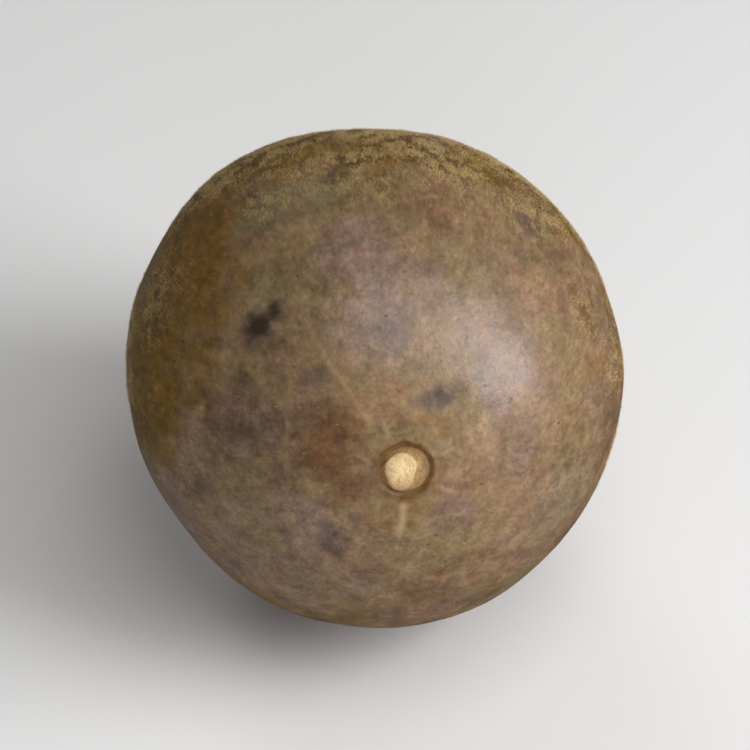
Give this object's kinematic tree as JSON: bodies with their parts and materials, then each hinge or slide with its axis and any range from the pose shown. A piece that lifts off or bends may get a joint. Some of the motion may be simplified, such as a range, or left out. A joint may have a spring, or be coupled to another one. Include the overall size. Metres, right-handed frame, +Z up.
{
  "type": "monk fruit",
  "caption": "Whole dried monk fruit: a hard, thin-shelled, egg-shaped gourd with a pale stalk scar at one end and a small blossom scar at the other, lying on a small flat spot.",
  "frame": {"origin": "on the surface the fruit rests on, at the middle of the bottom of its bounding box, at rest", "axes": "+Z up. The fruit lies on its side: its stalk end faces -Y, 24 degrees above level, and its blossom end faces +Y and a little down. +X is to the right when the stalk end is looked at from -Y."},
  "size_m": [0.0578, 0.0618, 0.0583],
  "materials": {
    "rind": "dried gourd shell, polished by rubbing where the down has worn off, dull and mottled where it has not",
    "stalk_wood": "pale, dry, broken stalk fibre",
    "down": "short yellowish hairs left on the shell"
  },
  "bodies": {
    "root": {"monk_fruit": "rind"}
  },
  "joints": []
}
